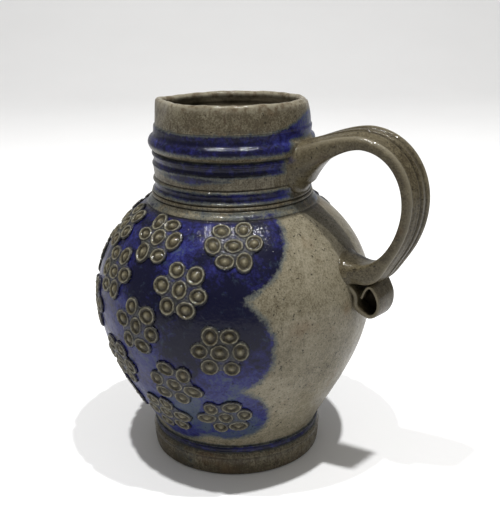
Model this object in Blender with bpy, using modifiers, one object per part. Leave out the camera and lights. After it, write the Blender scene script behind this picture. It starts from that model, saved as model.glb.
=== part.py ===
"""Salt-glazed stoneware jug: a thrown body, a reeded strap handle with a rolled tail, and pressed rosettes.

Metres, +Z up. The jug stands on its foot at z = 0, turned round the Z axis. The handle points along +X and the
pouring lip along -X. A place on the belly is given by its azimuth from +X and its height.
"""

import math

import bmesh
import bpy
from mathutils import Matrix, Vector

# --- Body: driving dimensions -------------------------------------------------------------------------------
FOOT_RADIUS = 0.0430
FOOT_HEIGHT = 0.0160  # from the table to the waist above the foot
WAIST_INSET = 0.0015  # the waist is this much slimmer than the foot
BELLY_RADIUS = 0.0680
BELLY_LEVEL = 0.0830  # height of the widest place
SHOULDER_LEVEL = 0.1292  # lower edge of the neck's flange
NECK_HEIGHT = 0.0506  # from the flange to the rim
NECK_RADIUS = 0.0372
FLANGE_PROUD = 0.0043  # how far the flange stands out of the neck
COLLAR_TAPER = 0.0010  # the collar closes in by this much up to the rim
BELLY_FULLNESS = 1.1  # 1 is a plain cosine from waist to belly, more is slimmer

WALL = 0.0055
NECK_WALL = 0.0046
RIM_THICKNESS = 0.0034
FLOOR_THICKNESS = 0.0090
FLOOR_FILLET = 0.0120

# --- Pouring lip --------------------------------------------------------------------------------------------
LIP_OUT = 0.0006  # the tip's throw beyond the rim
LIP_ANGLE = math.radians(-162)  # azimuth, a little off the place opposite the handle
LIP_SPREAD = math.radians(12)
PINCH_IN = 0.0027  # the finger marks on both sides of the lip
PINCH_ANGLE = math.radians(33)
PINCH_SPREAD = math.radians(18)
PINCH_DEPTH = 0.0200  # the pinch and the lean fade out this far below the rim
RIM_LEAN = 0.0032  # the rim is this much lower at its lowest place than at its highest
RIM_TOP_ANGLE = math.radians(-21)  # azimuth of the rim's highest place

# --- Rosettes -----------------------------------------------------------------------------------------------
ROSETTE_REACH = 0.0125  # from the centre to the outer edge of the outer bosses
BOSS_PITCH = 0.0090
BOSS_INSET = 0.0011  # from a boss's foot to its flat top
PAD_THICKNESS = 0.0005
BOSS_HEIGHT = 0.0010  # above the pad
TOP_MARGIN = 0.0131  # along the surface, from the flange to the first row's centres
BOTTOM_SHARE = 0.1908  # of the belly's outline, from the last row's centres to the waist

# --- Handle -------------------------------------------------------------------------------------------------
STRAP_WIDTH = 0.0180
STRAP_THICKNESS = 0.0055
STRAP_CROWN = 0.0014  # rise of the outer face in its middle
REED_DEPTH = 0.0007  # of the two grooves along the outer face
REED_PLACE = 0.24  # from the middle line to each groove, as a share of the width
LOOP_REACH = 0.0246  # from the belly's widest radius to the loop's outermost centre line
LOOP_DROP = 0.0161  # from the rim down to the loop's top centre line
LOOP_MIDDLE_DROP = 0.0433  # from the rim down to the loop's outermost point
UPPER_ROOT_DROP = 0.0293  # from the rim down to where the centre line meets the neck
LOWER_ROOT_DROP = 0.0262  # from the flange down to where the centre line meets the belly
LOOP_TOP_SQUARENESS = 0.97  # 1 is an ellipse, less is squarer
LOOP_FOOT_SQUARENESS = 1.07
NECK_SMEAR = 0.0205  # extra height of the strap where it is smeared on the neck
NECK_SMEAR_FADE = 0.0130
NECK_SMEAR_WIDTH = 0.0100
BELLY_SMEAR = 0.0080
BELLY_SMEAR_FADE = 0.0090
BELLY_SMEAR_WIDTH = 0.0050

# --- Rolled tail --------------------------------------------------------------------------------------------
TAIL_WIDTH = 0.0170
TAIL_THICKNESS = 0.0042
TAIL_TIP_THICKNESS = 0.0018
ROLL_DROP = 0.0118  # from the lower root down to the middle of the roll
ROLL_STANDOFF = 0.0099  # from the belly to the middle of the roll
ROLL_HALF_WIDTH = 0.0043  # of the centre line of the rolled clay
ROLL_HALF_HEIGHT = 0.0070
ROLL_START = math.radians(240)  # where the clay turns away from the belly, round the roll's middle
ROLL_TURN = math.radians(288)  # how far it is rolled up

CLEARANCE = 0.0003  # between pieces that are luted together
BODY_SEGMENTS = 48
BOWL_STEPS = 8  # along the belly's outline, from the waist to the widest place
DOME_STEPS = 6  # and from there to the flange
COLLAR_STEPS = 3
SLOPE_STEP = 0.0001  # over which a slope of the belly is measured
OVERSHOOT = 0.0060  # a root starts this far inside the body, and the body's own shape trims it

RIM_LEVEL = SHOULDER_LEVEL + NECK_HEIGHT
WAIST_RADIUS = FOOT_RADIUS - WAIST_INSET
FLANGE_RADIUS = NECK_RADIUS + FLANGE_PROUD

# Lines turned into the foot: height above the table, radius against FOOT_RADIUS.
FOOT_LINES = (
    (0.0000, -0.0016),
    (0.0010, -0.0006),
    (0.0050, 0.0000),
    (0.0091, -0.0002),
    (0.0100, 0.0003),
    (0.0109, -0.0003),
    (0.0121, -0.0011),
    (0.0128, -0.0008),
    (0.0152, -0.0008),
)

# Rings turned into the neck: height above the flange's lower edge, radius against NECK_RADIUS.
NECK_LINES = (
    (0.0023, 0.0027),
    (0.0037, 0.0015),
    (0.0046, 0.0019),
    (0.0056, 0.0009),
    (0.0066, 0.0014),
    (0.0091, 0.0001),
    (0.0114, 0.0010),
    (0.0128, 0.0002),
    (0.0160, 0.0005),
    (0.0190, 0.0011),
    (0.0214, 0.0002),
    (0.0237, 0.0011),
    (0.0253, 0.0004),
    (0.0270, 0.0021),
    (0.0291, 0.0028),
    (0.0313, 0.0021),
    (0.0332, 0.0003),
    (0.0372, 0.0000),
    (0.0380, -0.0006),
)

# Rows of rosettes from the shoulder down: azimuth of the first, step to the next, how many.
ROSETTE_ROWS = (
    (-60.0, -39.0, 7),
    (-81.6, -38.3, 6),
    (-66.0, -37.3, 7),
    (-86.6, -36.8, 6),
    (-65.6, -36.8, 7),
)

# How far single rosettes were pressed off their place, (row, place): (metres across, metres up, degrees turned).
ROSETTE_NUDGES = {
    (0, 0): (0.0000, 0.0000, 2.0),
    (0, 1): (-0.0019, 0.0002, 1.0),
    (1, 0): (0.0000, 0.0013, -9.0),
    (1, 1): (0.0000, 0.0016, 2.0),
    (2, 0): (0.0003, -0.0024, 0.0),
    (2, 1): (0.0034, 0.0040, -10.0),
    (2, 2): (0.0030, 0.0028, 8.0),
    (3, 0): (0.0000, -0.0005, -15.0),
    (3, 1): (0.0062, 0.0028, -6.0),
    (4, 0): (0.0000, 0.0014, 11.0),
    (4, 1): (0.0028, -0.0028, 5.0),
    (4, 2): (0.0038, 0.0004, -7.0),
}
NUDGE_RANGE = 0.0010  # of the rosettes that have no entry above
TURN_RANGE = 12.0


def lerp(a, b, t):
    return a + (b - a) * t


def smoothstep(t):
    t = min(max(t, 0.0), 1.0)
    return t * t * (3 - 2 * t)


def bump(x, spread):
    """A bell of height 1 and the given spread."""
    return math.exp(-((x / spread) ** 2))


# --- Scene --------------------------------------------------------------------------------------------------
def clear_scene():
    for obj in list(bpy.data.objects):
        bpy.data.objects.remove(obj, do_unlink=True)


def new_collection(name):
    collection = bpy.data.collections.new(name)
    bpy.context.scene.collection.children.link(collection)
    return collection


def clay(name, colour, roughness):
    """A fired-clay material: no metal, with the gloss of salt glaze."""
    material = bpy.data.materials.new(name)
    material.use_nodes = True
    shader = material.node_tree.nodes["Principled BSDF"]
    shader.inputs["Base Color"].default_value = (*colour, 1.0)
    shader.inputs["Roughness"].default_value = roughness
    shader.inputs["Metallic"].default_value = 0.0
    material.diffuse_color = (*colour, 1.0)
    return material


def add_object(name, mesh, collection, material=None):
    obj = bpy.data.objects.new(name, mesh)
    collection.objects.link(obj)
    if material:
        mesh.materials.clear()
        mesh.materials.append(material)
    return obj


def make_cutter(obj):
    obj.hide_render = True
    obj.display_type = "WIRE"


def shade(mesh):
    mesh.shade_smooth()
    mesh.set_sharp_from_angle(angle=math.radians(38))


def evaluated_mesh(obj):
    """A new mesh with the object's modifiers applied; the object is removed."""
    graph = bpy.context.evaluated_depsgraph_get()
    mesh = bpy.data.meshes.new_from_object(obj.evaluated_get(graph))
    old = obj.data
    bpy.data.objects.remove(obj, do_unlink=True)
    bpy.data.meshes.remove(old)
    return mesh


# --- Body outline -------------------------------------------------------------------------------------------
def belly_radius(z):
    """Outer radius of the belly between the waist and the flange: a fuller dome above, a slimmer bowl below."""
    if z < BELLY_LEVEL:
        t = (BELLY_LEVEL - max(z, FOOT_HEIGHT)) / (BELLY_LEVEL - FOOT_HEIGHT)
        return lerp(WAIST_RADIUS, BELLY_RADIUS, max(math.cos(t * math.pi / 2), 0.0) ** BELLY_FULLNESS)
    dome = (SHOULDER_LEVEL - BELLY_LEVEL) / math.sqrt(1 - (FLANGE_RADIUS / BELLY_RADIUS) ** 2)
    return BELLY_RADIUS * math.sqrt(1 - ((z - BELLY_LEVEL) / dome) ** 2)


def belly_levels(low, high, count):
    """Heights at equal steps along the surface between two heights."""
    fine = [lerp(low, high, i / 200) for i in range(201)]
    run = [0.0]
    for a, b in zip(fine, fine[1:]):
        run.append(run[-1] + math.hypot(b - a, belly_radius(b) - belly_radius(a)))
    levels = []
    for i in range(count + 1):
        wanted = run[-1] * i / count
        k = max(j for j, value in enumerate(run) if value <= wanted + 1e-12)
        k = min(k, len(fine) - 2)
        levels.append(lerp(fine[k], fine[k + 1], (wanted - run[k]) / (run[k + 1] - run[k])))
    return levels


def outer_outline(offset=0.0):
    """(radius, height) from the rim's outer edge down to the edge of the base, grown outwards by offset."""
    points = []
    collar_foot, collar_step = NECK_LINES[-1]
    rim_outer = NECK_RADIUS + collar_step - COLLAR_TAPER
    for i in range(COLLAR_STEPS):
        t = 1 - i / COLLAR_STEPS
        z = lerp(SHOULDER_LEVEL + collar_foot, RIM_LEVEL - RIM_THICKNESS / 2, t)
        points.append((lerp(NECK_RADIUS + collar_step, rim_outer, t ** 1.6), z))
    for height, proud in reversed(NECK_LINES):
        points.append((NECK_RADIUS + proud, SHOULDER_LEVEL + height))
    bowl = belly_levels(FOOT_HEIGHT, BELLY_LEVEL, BOWL_STEPS)
    dome = belly_levels(BELLY_LEVEL, SHOULDER_LEVEL, DOME_STEPS)
    for z in reversed(bowl + dome[1:]):
        points.append((belly_radius(z), z))
    for height, proud in reversed(FOOT_LINES):
        points.append((FOOT_RADIUS + proud, height))
    return [(r + offset, z) for r, z in points]


def rim_arc(steps=5):
    """(radius, height) over the rounded rim, from the inner side to the outer side."""
    outer = NECK_RADIUS + NECK_LINES[-1][1] - COLLAR_TAPER
    half = RIM_THICKNESS / 2
    points = []
    for i in range(1, steps):
        a = math.pi * (1 - i / steps)
        points.append((outer - half + half * math.cos(a), RIM_LEVEL - half + half * math.sin(a)))
    return points


def inner_outline():
    """(radius, height) from the middle of the floor up to the inner side of the rim."""
    top_of_fillet = FLOOR_THICKNESS + FLOOR_FILLET
    fillet_radius = belly_radius(top_of_fillet) - WALL
    points = [(0.0, FLOOR_THICKNESS), (fillet_radius - FLOOR_FILLET, FLOOR_THICKNESS)]
    for i in (1, 2):
        a = math.pi / 2 * i / 3
        r = fillet_radius - FLOOR_FILLET * (1 - math.sin(a))
        points.append((r, top_of_fillet - FLOOR_FILLET * math.cos(a)))
    neck_inside = NECK_RADIUS - NECK_WALL
    throat = SHOULDER_LEVEL - (FLANGE_RADIUS - WALL - neck_inside)
    for z in belly_levels(top_of_fillet, throat, 8):
        points.append((belly_radius(z) - WALL, z))
    last = points[-1]
    points.append((lerp(last[0], neck_inside, 0.75), lerp(last[1], SHOULDER_LEVEL + WALL / 2, 0.6)))
    points.append((neck_inside, SHOULDER_LEVEL + WALL))
    points.append((neck_inside, RIM_LEVEL - PINCH_DEPTH))
    rim_inner = NECK_RADIUS + NECK_LINES[-1][1] - COLLAR_TAPER - RIM_THICKNESS
    points.append((lerp(neck_inside, rim_inner, 0.4), RIM_LEVEL - PINCH_DEPTH / 2))
    points.append((rim_inner, RIM_LEVEL - RIM_THICKNESS / 2))
    return points


def turned(name, outline, collection, segments):
    """The outline turned once round the Z axis by a Screw modifier."""
    mesh = bpy.data.meshes.new(name)
    edges = [(i, i + 1) for i in range(len(outline) - 1)]
    mesh.from_pydata([(r, 0.0, z) for r, z in outline], edges, [])
    obj = add_object(name, mesh, collection)
    screw = obj.modifiers.new("turn", "SCREW")
    screw.steps = segments
    screw.render_steps = segments
    screw.use_merge_vertices = True
    screw.merge_threshold = 0.00001
    screw.use_smooth_shade = True
    return obj


def pour_lip(point):
    """Moves a point near the rim: thrown out at the lip, pinched in beside it, and leaning to its low side."""
    fade = smoothstep((point.z - (RIM_LEVEL - PINCH_DEPTH)) / PINCH_DEPTH)
    radius = math.hypot(point.x, point.y)
    if fade <= 0 or radius < NECK_RADIUS / 2:
        return point
    away = abs(math.remainder(math.atan2(point.y, point.x) - LIP_ANGLE, math.tau))
    out = LIP_OUT * bump(away, LIP_SPREAD) - PINCH_IN * bump(away - PINCH_ANGLE, PINCH_SPREAD)
    grown = (radius + out * fade ** 1.5) / radius
    lean = RIM_LEAN * (1 - math.cos(math.atan2(point.y, point.x) - RIM_TOP_ANGLE)) / 2 * fade
    return Vector((point.x * grown, point.y * grown, point.z - lean))


def make_body(parts, material):
    outline = inner_outline() + rim_arc() + outer_outline() + [(0.0, 0.0)]
    mesh = evaluated_mesh(turned("body_turning", outline, parts, BODY_SEGMENTS))
    for vertex in mesh.vertices:
        vertex.co = pour_lip(vertex.co.copy())
    shade(mesh)
    return add_object("jug_body", mesh, parts, material)


def make_body_cutter(cutters):
    """The body's outer shape grown by the clearance and filled to the axis."""
    outline = [(0.0, RIM_LEVEL + CLEARANCE)]
    outline += outer_outline(CLEARANCE)
    outline += [(0.0, -CLEARANCE)]
    cutter = turned("body_trim", outline, cutters, BODY_SEGMENTS)
    make_cutter(cutter)
    return cutter


# --- Rosettes -----------------------------------------------------------------------------------------------
def belly_slope(z):
    return (belly_radius(z + SLOPE_STEP) - belly_radius(z - SLOPE_STEP)) / (2 * SLOPE_STEP)


def on_belly(azimuth, level, across, up, height):
    """The point reached from a place on the belly by going across and up along its surface, then off it."""
    strides = 12
    z = level
    for _ in range(strides):
        z += up / strides / math.hypot(1.0, belly_slope(z))
    radius = belly_radius(z)
    tilt = math.atan(belly_slope(z))
    angle = azimuth + across / radius
    out = radius + height * math.cos(tilt)
    return Vector((out * math.cos(angle), out * math.sin(angle), z - height * math.sin(tilt)))


def rosette_sheet():
    """Seven six-sided bosses in a honeycomb, as a closed flat plate: x across, y up, z off the surface."""
    sheet = bmesh.new()
    spots = [(0.0, 0.0)]
    for i in range(6):
        angle = math.radians(60 * i)
        spots.append((BOSS_PITCH * math.cos(angle), BOSS_PITCH * math.sin(angle)))
    for x, y in spots:
        bmesh.ops.create_circle(
            sheet,
            cap_ends=True,
            segments=6,
            radius=BOSS_PITCH / math.sqrt(3),
            matrix=Matrix.Translation((x, y, 0.0)),
        )
    bmesh.ops.remove_doubles(sheet, verts=sheet.verts, dist=BOSS_PITCH / 50)
    for vertex in sheet.verts:
        reach = vertex.co.length
        if reach > ROSETTE_REACH:
            vertex.co *= ROSETTE_REACH / reach
    cells = list(sheet.faces)
    extruded = bmesh.ops.extrude_face_region(sheet, geom=cells, use_keep_orig=True)
    tops = [item for item in extruded["geom"] if isinstance(item, bmesh.types.BMFace)]
    for vertex in {corner for face in tops for corner in face.verts}:
        vertex.co.z = PAD_THICKNESS
    bmesh.ops.poke(sheet, faces=cells)  # a middle point for each foot, so that it follows a round belly
    bmesh.ops.inset_individual(sheet, faces=tops, thickness=BOSS_INSET, depth=0.0)
    for vertex in {corner for face in tops for corner in face.verts}:
        vertex.co.z = PAD_THICKNESS + BOSS_HEIGHT
    bmesh.ops.triangulate(sheet, faces=sheet.faces)
    bmesh.ops.recalc_face_normals(sheet, faces=sheet.faces)
    return sheet


def row_levels():
    """Height of each row's middle: even steps along the surface between the two margins."""
    fine = belly_levels(FOOT_HEIGHT, SHOULDER_LEVEL, 280)
    run = [0.0]
    for a, b in zip(fine, fine[1:]):
        run.append(run[-1] + math.hypot(b - a, belly_radius(b) - belly_radius(a)))
    first, last = run[-1] - TOP_MARGIN, run[-1] * BOTTOM_SHARE
    levels = []
    for row in range(len(ROSETTE_ROWS)):
        wanted = lerp(first, last, row / (len(ROSETTE_ROWS) - 1))
        levels.append(fine[min(range(len(run)), key=lambda i: abs(run[i] - wanted))])
    return levels


def make_rosettes(parts, material):
    sheet = rosette_sheet()
    for row, ((start, step, count), level) in enumerate(zip(ROSETTE_ROWS, row_levels())):
        for place in range(count):
            wander = math.sin(2.4 * place + 1.7 * row)
            usual = (-NUDGE_RANGE * wander, NUDGE_RANGE * wander, TURN_RANGE * wander)
            aside, drift, turn = ROSETTE_NUDGES.get((row, place), usual)
            azimuth = math.radians(start + step * place)
            turned_by = math.radians(turn)
            pressed = sheet.copy()
            for vertex in pressed.verts:
                x, y, height = vertex.co
                across = x * math.cos(turned_by) - y * math.sin(turned_by) + aside
                up = x * math.sin(turned_by) + y * math.cos(turned_by) + drift
                vertex.co = on_belly(azimuth, level, across, up, CLEARANCE + height)
            name = f"rosette_{row + 1}_{place + 1}"
            mesh = bpy.data.meshes.new(name)
            pressed.to_mesh(mesh)
            pressed.free()
            shade(mesh)
            add_object(name, mesh, parts, material)
    sheet.free()


# --- Handle -------------------------------------------------------------------------------------------------
def superellipse(angle, half_width, half_height, squareness):
    c, s = math.cos(angle), math.sin(angle)
    x = math.copysign(abs(c) ** squareness, c)
    z = math.copysign(abs(s) ** squareness, s)
    return half_width * x, half_height * z


def smooth_curve(points, steps):
    """A Catmull-Rom curve through the points, with this many steps between each two."""
    curve = []
    ends = [points[0]] + points + [points[-1]]
    for a, b, c, d in zip(ends, ends[1:], ends[2:], ends[3:]):
        for i in range(steps):
            t = i / steps
            weights = (
                (-t + 2 * t * t - t ** 3) / 2,
                (2 - 5 * t * t + 3 * t ** 3) / 2,
                (t + 4 * t * t - 3 * t ** 3) / 2,
                (-t * t + t ** 3) / 2,
            )
            curve.append(tuple(sum(w * p[k] for w, p in zip(weights, (a, b, c, d))) for k in (0, 1)))
    return curve + [points[-1]]


def strap_path():
    """(x, z) down the strap's centre line, from inside the neck, round the loop, to inside the belly."""
    centre_x = BELLY_RADIUS
    top = RIM_LEVEL - LOOP_DROP
    middle = RIM_LEVEL - LOOP_MIDDLE_DROP
    upper_root = RIM_LEVEL - UPPER_ROOT_DROP
    lower_root = SHOULDER_LEVEL - LOWER_ROOT_DROP
    points = []
    start_x = NECK_RADIUS - OVERSHOOT
    for i in range(9):
        x = lerp(start_x, centre_x, i / 9)
        away = (centre_x - x) / (centre_x - NECK_RADIUS)
        points.append((x, top - (top - upper_root) * away ** 1.6))
    for i in range(25):
        angle = math.pi / 2 - math.pi * i / 24
        if angle > 0:
            x, z = superellipse(angle, LOOP_REACH, top - middle, LOOP_TOP_SQUARENESS)
        else:
            x, z = superellipse(angle, LOOP_REACH, middle - lower_root, LOOP_FOOT_SQUARENESS)
        points.append((centre_x + x, middle + z))
    end_x = belly_radius(lower_root) - OVERSHOOT
    for i in (1, 2, 3):
        points.append((lerp(centre_x, end_x, i / 3), lower_root))
    return points


def roll_path():
    """(x, z) along the rolled tail's centre line: down the belly, round the roll, to the tucked-in tip."""
    lower_root = SHOULDER_LEVEL - LOWER_ROOT_DROP
    middle_z = lower_root - ROLL_DROP
    middle_x = belly_radius(middle_z) + ROLL_STANDOFF
    skin = TAIL_THICKNESS * 0.4
    start_z = lower_root - BELLY_SMEAR * 0.4
    turn_z = middle_z - ROLL_HALF_HEIGHT * 0.4
    points = [
        (belly_radius(start_z) - OVERSHOOT / 2, start_z),
        (belly_radius(middle_z) + skin * 0.6, lerp(start_z, turn_z, 0.5)),
        (belly_radius(turn_z) + skin, turn_z),
    ]
    for i in range(10):
        angle = ROLL_START + ROLL_TURN * i / 9
        x = middle_x + ROLL_HALF_WIDTH * math.cos(angle)
        points.append((x, middle_z + ROLL_HALF_HEIGHT * math.sin(angle)))
    return smooth_curve(points, 2)


def strap_section(width, thickness, crown, reed):
    """(across, out) round the strap: flat inside, rounded edges, a crowned outer face with two grooves."""
    half = width / 2
    edge = min(thickness * 0.42, half * 0.4)
    points = [(-half + edge, -thickness / 2), (half - edge, -thickness / 2)]
    points += [(half - edge * 0.25, -thickness / 2 + edge * 0.35), (half, 0.0)]
    places = [0.47, 0.40, REED_PLACE + 0.06, REED_PLACE, REED_PLACE - 0.06, 0.08]
    places += [-p for p in reversed(places)]
    for place in places:
        rise = crown * (1 - (2 * place) ** 2)
        if abs(abs(place) - REED_PLACE) < 0.01:
            rise -= reed
        if abs(place) > 0.45:
            rise -= edge * 0.35
        points.append((width * place, thickness / 2 + rise))
    points += [(-half, 0.0), (-half + edge * 0.25, -thickness / 2 + edge * 0.35)]
    return points


def tail_section(width, thickness):
    """(across, out) round the tail: a flat strip with rounded edges."""
    half, quarter = width / 2, thickness / 4
    right = [(half - quarter, -thickness / 2), (half, -quarter)]
    right += [(half, quarter), (half - quarter, thickness / 2)]
    return right + [(-across, out) for across, out in reversed(right)]


def loft(name, path, sections):
    """A closed mesh whose sections stand square to a path in the XZ plane; out is to the left of the path."""
    shape = bmesh.new()
    rings = []
    for i, (x, z) in enumerate(path):
        before, after = path[max(i - 1, 0)], path[min(i + 1, len(path) - 1)]
        along = Vector((after[0] - before[0], 0.0, after[1] - before[1])).normalized()
        out = Vector((-along.z, 0.0, along.x))
        rings.append([shape.verts.new(Vector((x, a, z)) + out * o) for a, o in sections[i]])
    for near, far in zip(rings, rings[1:]):
        for k in range(len(near)):
            n = (k + 1) % len(near)
            shape.faces.new((near[k], near[n], far[n], far[k]))
    shape.faces.new(rings[0])
    shape.faces.new(rings[-1])
    bmesh.ops.triangulate(shape, faces=shape.faces)
    bmesh.ops.recalc_face_normals(shape, faces=shape.faces)
    mesh = bpy.data.meshes.new(name)
    shape.to_mesh(mesh)
    shape.free()
    return mesh


def strap_sections(path):
    sections = []
    for x, z in path:
        from_neck = max(x - NECK_RADIUS, 0.0) if z > RIM_LEVEL - LOOP_MIDDLE_DROP else 1.0
        from_belly = max(x - belly_radius(z), 0.0) if z < SHOULDER_LEVEL else 1.0
        neck = math.exp(-from_neck / NECK_SMEAR_FADE)
        belly = math.exp(-from_belly / BELLY_SMEAR_FADE)
        width = STRAP_WIDTH + NECK_SMEAR_WIDTH * neck ** 1.5 + BELLY_SMEAR_WIDTH * belly
        thickness = STRAP_THICKNESS + NECK_SMEAR * neck + BELLY_SMEAR * belly
        reed = REED_DEPTH * (1 - neck) * (1 - belly)
        sections.append(strap_section(width, thickness, STRAP_CROWN, reed))
    return sections


def tail_sections(path):
    sections = []
    for i in range(len(path)):
        t = i / (len(path) - 1)
        thickness = lerp(TAIL_THICKNESS, TAIL_TIP_THICKNESS, smoothstep((t - 0.35) / 0.35))
        sections.append(tail_section(TAIL_WIDTH, thickness))
    return sections


def add_boolean(obj, operation, other):
    modifier = obj.modifiers.new(operation.lower(), "BOOLEAN")
    modifier.operation = operation
    modifier.object = other
    modifier.solver = "EXACT"


def make_handle(parts, cutters, material, body_cutter):
    strap = strap_path()
    roll = roll_path()
    tail = add_object("tail_strip", loft("tail_strip", roll, tail_sections(roll)), cutters)
    make_cutter(tail)
    handle = add_object("handle", loft("handle", strap, strap_sections(strap)), parts, material)
    add_boolean(handle, "UNION", tail)
    add_boolean(handle, "DIFFERENCE", body_cutter)
    shade(handle.data)
    return handle


def main():
    clear_scene()
    parts = new_collection("stoneware_jug")
    cutters = new_collection("cutters")
    stoneware = clay("salt_glazed_stoneware", (0.27, 0.25, 0.21), 0.34)
    handle_clay = clay("handle_stoneware", (0.20, 0.18, 0.14), 0.36)
    sprig_clay = clay("rosette_stoneware", (0.30, 0.27, 0.20), 0.38)
    make_body(parts, stoneware)
    body_cutter = make_body_cutter(cutters)
    make_handle(parts, cutters, handle_clay, body_cutter)
    make_rosettes(parts, sprig_clay)


main()
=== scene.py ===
"""Salt-glazed stoneware jug with a cobalt ground.

A thrown body, a reeded strap handle with a rolled tail, and pressed ring-and-dot rosettes.
Metres, +Z up, the foot on the table at z = 0. The handle points along +X and the pouring lip
nearly along -X.
"""

import math

import bpy
import numpy as np
from bpy.props import FloatProperty, FloatVectorProperty, IntProperty, PointerProperty
from mathutils import Matrix, Vector


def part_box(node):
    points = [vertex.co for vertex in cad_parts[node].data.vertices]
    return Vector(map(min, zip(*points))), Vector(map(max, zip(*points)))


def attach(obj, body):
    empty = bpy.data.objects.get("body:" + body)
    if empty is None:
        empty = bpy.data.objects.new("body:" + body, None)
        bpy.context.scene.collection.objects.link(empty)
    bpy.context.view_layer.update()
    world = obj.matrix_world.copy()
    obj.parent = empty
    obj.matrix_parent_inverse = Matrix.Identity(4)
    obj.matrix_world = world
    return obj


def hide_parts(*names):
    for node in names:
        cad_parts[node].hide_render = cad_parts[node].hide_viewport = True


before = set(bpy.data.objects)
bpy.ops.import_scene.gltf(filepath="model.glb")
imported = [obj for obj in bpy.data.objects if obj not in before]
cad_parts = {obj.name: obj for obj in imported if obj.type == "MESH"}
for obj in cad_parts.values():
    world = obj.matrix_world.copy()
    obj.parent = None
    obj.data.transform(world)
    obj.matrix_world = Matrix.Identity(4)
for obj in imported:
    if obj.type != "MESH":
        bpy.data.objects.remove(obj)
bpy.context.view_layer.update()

bl_info = {
    "name": "Salt-glazed stoneware jug",
    "version": (1, 0, 0),
    "blender": (4, 5, 0),
    "location": "View3D > Sidebar > Jug",
    "description": "Throws, handles, sprigs and glazes a grey stoneware jug with cobalt painting",
    "category": "Add Mesh",
}

MM = 0.001
BODY = "root"

# Lines turned into the foot: height above the table, radius against the foot's, in millimetres.
FOOT_LINES = (
    (0.0, -1.6), (0.5, -0.9), (1.2, -0.5), (5.0, 0.0), (8.8, -0.1), (9.3, -0.35), (10.0, 0.3),
    (10.7, -0.1), (11.4, -0.7), (12.1, -1.2), (12.8, -0.85), (13.8, -0.9), (14.8, -0.75),
    (15.4, -0.35), (16.0, -1.2),
)

# Rings turned into the neck: height above the flange's lower edge, radius against the neck's,
# in millimetres.
NECK_LINES = (
    (0.0, 4.3), (1.2, 3.75), (2.3, 2.7), (3.3, 2.1), (3.7, 1.5), (4.1, 1.85), (4.6, 1.9),
    (5.2, 1.7), (5.6, 0.9), (6.0, 1.3), (6.6, 1.4), (7.4, 0.7), (9.1, 0.1), (10.6, 0.5),
    (11.4, 1.0), (12.1, 0.8), (12.8, 0.2), (16.0, 0.5), (18.0, 0.8), (19.0, 1.1), (19.8, 0.7),
    (21.4, 0.2), (22.8, 0.7), (23.7, 1.1), (24.6, 0.9), (25.3, 0.4), (26.2, 1.3), (27.0, 2.1),
    (29.1, 2.8), (31.3, 2.1), (33.2, 0.3), (37.2, 0.0), (38.0, -0.6),
)

# Scratched lines: height above the table, depth, half width, in millimetres.
NECK_SCRATCHES = (
    (128.95, 0.55, 0.28), (132.9, 0.35, 0.22), (134.85, 0.40, 0.22), (141.9, 0.45, 0.25),
    (154.55, 0.40, 0.25), (152.2, 0.14, 0.20), (148.8, 0.16, 0.22), (137.6, 0.10, 0.25),
    (166.7, 0.28, 0.22),
)
FOOT_SCRATCHES = ((12.1, 0.30, 0.22), (8.9, 0.20, 0.25), (16.1, 0.15, 0.25))

# Rows of rosettes from the shoulder down: azimuth of the first, step to the next, how many.
ROSETTE_ROWS = (
    (-60.0, -39.0, 7),
    (-81.6, -38.3, 6),
    (-66.0, -37.3, 7),
    (-86.6, -36.8, 6),
    (-65.6, -36.8, 7),
)

# How far single rosettes were pressed off their place, by row and place: metres across,
# metres up, degrees turned.
ROSETTE_NUDGES = {
    (0, 0): (0.0000, 0.0000, 2.0),
    (0, 1): (-0.0019, 0.0002, 1.0),
    (1, 0): (0.0000, 0.0013, -9.0),
    (1, 1): (0.0000, 0.0016, 2.0),
    (2, 0): (0.0003, -0.0024, 0.0),
    (2, 1): (0.0034, 0.0040, -10.0),
    (2, 2): (0.0030, 0.0028, 8.0),
    (3, 0): (0.0000, -0.0005, -15.0),
    (3, 1): (0.0062, 0.0028, -6.0),
    (4, 0): (0.0000, 0.0014, 11.0),
    (4, 1): (0.0028, -0.0028, 5.0),
    (4, 2): (0.0038, 0.0004, -7.0),
}
NUDGE_RANGE = 0.0010  # of the rosettes that have no entry above
TURN_RANGE = 12.0
TOP_MARGIN = 0.0131  # along the belly's outline, from the flange to the first row's centres
BOTTOM_SHARE = 0.1908  # of the belly's outline, from the last row's centres to the waist
RIM_TOP_ANGLE = math.radians(-60)  # azimuth of the rim's highest place
LIP_ANGLE = -162.0  # azimuth of the pouring lip, in degrees
LIP_SPREAD, PINCH_ANGLE, PINCH_SPREAD = 10.0, 31.0, 18.0  # degrees, the pinches from the lip
PINCH_DEPTH = 0.0200  # the lip, the pinches and the lean fade out this far below the rim

NECK_WALL = 0.0046  # thickness of the plain neck
FLOOR, FLOOR_FILLET = 0.0090, 0.0120
AROUND = 312  # points round the body
NECK_STEP, BELLY_STEP, FOOT_STEP, INNER_STEP = 0.27 * MM, 0.90 * MM, 0.3 * MM, 1.2 * MM

UPPER_ROOT_DROP = 0.0293  # from the rim to the middle of the handle's root on the neck
LOOP_MIDDLE_DROP = 0.0433  # from the rim to the loop's outermost place
LOWER_ROOT_DROP = 0.0262  # from the flange to the handle's root on the belly
ROOT_OVERSHOOT = 0.0060  # how far the strap's ends run into the wall
UPPER_FLARE = (0.0130, 0.0035, 0.0170)  # at the upper root: reach, extra width, extra thickness
LOWER_FLARE = (0.0090, 0.0020, 0.0090)
ROLL_PAD = (0.0745, 0.0065, 0.0032)  # clay on the rolled tail: distance out, spread, thickness
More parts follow.
